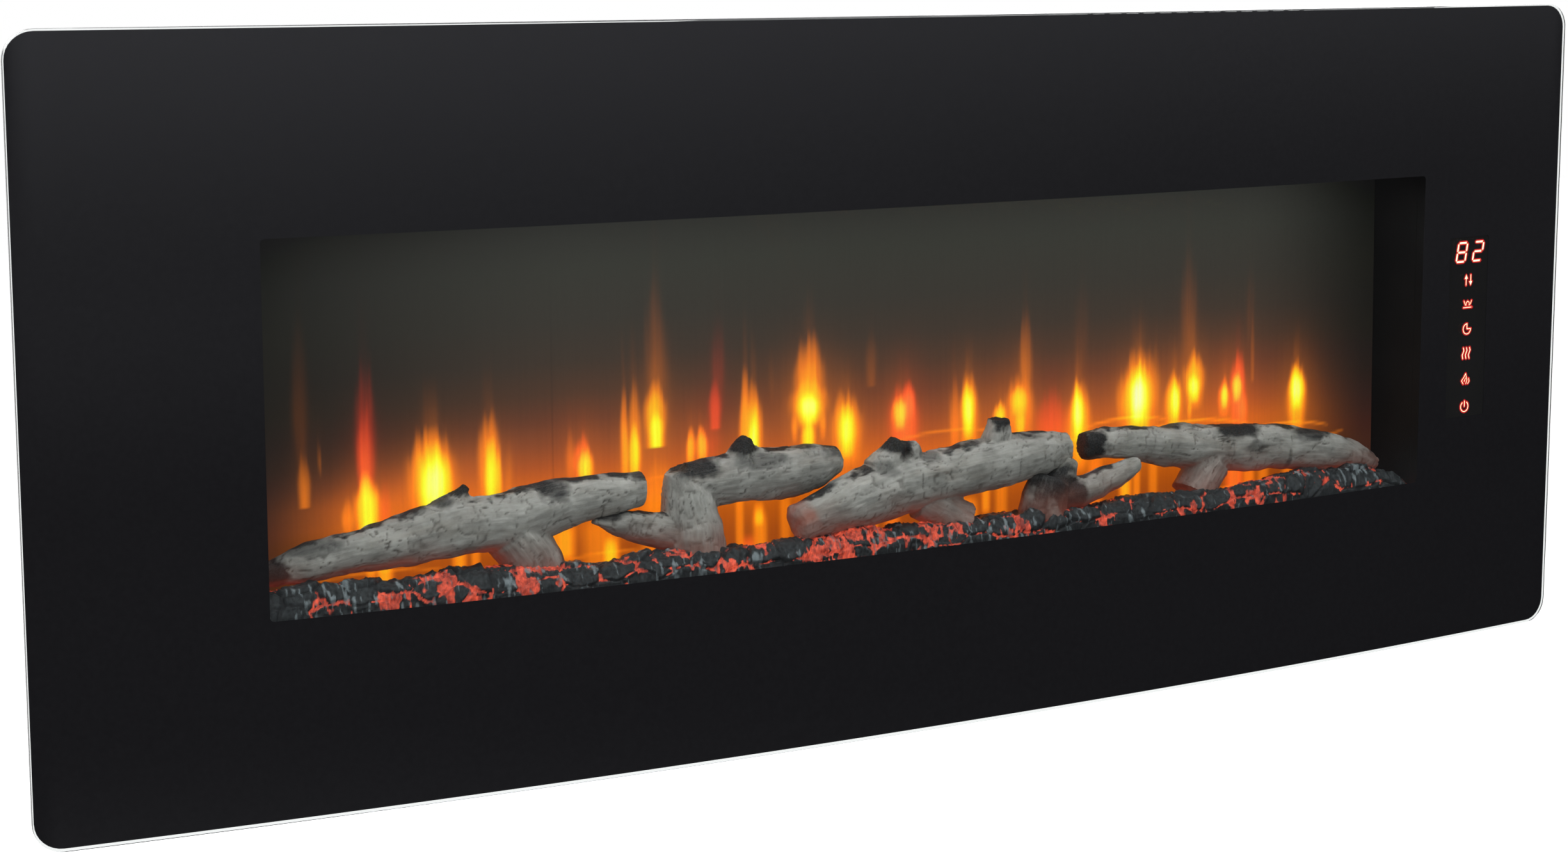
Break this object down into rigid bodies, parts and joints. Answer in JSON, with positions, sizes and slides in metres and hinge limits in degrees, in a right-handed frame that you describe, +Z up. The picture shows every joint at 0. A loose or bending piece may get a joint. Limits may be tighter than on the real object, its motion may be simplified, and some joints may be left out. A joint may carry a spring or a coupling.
{
  "type": "electric fireplace",
  "caption": "Wide wall-hung electric fireplace: bowed black glass front with a window onto logs, embers and a lit flame screen, touch display, steel case, fan heater.",
  "frame": {"origin": "centre of the wall bracket's four screw holes, on the wall plane; the glass centre is 150 mm below it", "axes": "+Z up, -Y out of the wall towards the viewer, +X to the viewer's right along the width"},
  "size_m": [1.28, 0.1499, 0.53],
  "materials": {
    "clear_glass": "polished clear float glass, greenish at its edges",
    "black_print": "black ceramic print fired on the back of the glass",
    "smoked_film": "smoked film",
    "red_legend": "translucent red-lit legend",
    "foam_tape": "black foam tape",
    "firebox_black": "matt black stove paint",
    "case_paint": "fine-textured black powder coat",
    "zinc_steel": "zinc-plated steel",
    "frosted_screen": "frosted smoked acrylic, lit from behind",
    "log_resin": "painted driftwood, charred at the knots and ends",
    "ember_resin": "translucent red moulding brushed with charcoal and ash paint",
    "led_board": "white circuit board with LEDs",
    "foil_mirror": "bright foil",
    "mirror_sheet": "mirror-finished sheet",
    "black_plastic": "moulded black plastic",
    "white_nylon": "natural nylon",
    "circuit_board": "green solder mask",
    "component_mix": "moulded electronic parts",
    "ceramic_white": "heat-proof ceramic board",
    "aluminium_fins": "bare aluminium",
    "copper_coil": "enamelled copper wire",
    "core_steel": "stacked steel laminations",
    "bright_steel": "ground steel",
    "rubber_black": "moulded black rubber",
    "harness_black": "sleeved wiring"
  },
  "bodies": {
    "wall_bracket": {"wall_bracket": "zinc_steel"},
    "case": {"hanger_rail": "zinc_steel", "wall_bumpers": "rubber_black", "rear_case": "case_paint", "front_plate": "case_paint", "case_screws": "bright_steel", "panel_screws": "bright_steel", "front_glass": "clear_glass", "glass_mask": "black_print", "display_film": "smoked_film", "bond_tape": "foam_tape", "glass_carrier": "firebox_black", "display_legends": "red_legend", "touch_board": "circuit_board", "digit_display": "black_plastic", "touch_springs": "bright_steel", "display_harness": "harness_black", "firebox_side_left": "firebox_black", "firebox_side_right": "firebox_black", "firebox_ceiling": "firebox_black", "firebox_floor": "firebox_black", "flame_screen": "frosted_screen", "screen_rails": "firebox_black", "ember_tray": "firebox_black", "ember_bed": "ember_resin", "log_1": "log_resin", "log_2": "log_resin", "log_3": "log_resin", "log_4": "log_resin", "log_5": "log_resin", "ember_led_strip": "led_board", "flame_led_strip": "led_board", "flame_cutter": "firebox_black", "back_reflector": "mirror_sheet", "spindle_motor": "zinc_steel", "motor_bracket": "zinc_steel", "spindle_bearing": "white_nylon", "blower_housing": "zinc_steel", "blower_bushes": "rubber_black", "blower_stator": "core_steel", "blower_coil": "copper_coil", "heater_frame": "ceramic_white", "heater_element": "aluminium_fins", "thermal_cutout": "zinc_steel", "outlet_duct": "zinc_steel", "outlet_grille": "case_paint", "control_board": "circuit_board", "board_components": "component_mix", "board_standoffs": "white_nylon", "terminal_block": "white_nylon", "switch_housing": "black_plastic", "cord_inlet": "black_plastic"},
    "flame_spindle": {"spindle_rod": "bright_steel", "spindle_vanes": "foil_mirror", "spindle_coupling": "rubber_black", "motor_shaft": "bright_steel"},
    "blower_rotor": {"blower_impeller": "aluminium_fins", "blower_shaft": "bright_steel", "blower_rotor": "core_steel"},
    "power_rocker": {"power_rocker": "black_plastic"}
  },
  "joints": [
    {"name": "lift_off", "type": "slide", "parent": "wall_bracket", "child": "case", "axis": [0, 0, 1], "range_m": [0, 0.016]},
    {"name": "spindle_spin", "type": "hinge", "parent": "case", "child": "flame_spindle", "pos_m": [0, -0.037, -0.254], "axis": [1, 0, 0], "continuous": true},
    {"name": "blower_spin", "type": "hinge", "parent": "case", "child": "blower_rotor", "pos_m": [0, -0.052, -0.328], "axis": [1, 0, 0], "continuous": true},
    {"name": "rocker_tilt", "type": "hinge", "parent": "case", "child": "power_rocker", "pos_m": [0.57, -0.056, -0.322], "axis": [0, 0, 1], "range_deg": [0, 16]}
  ]
}
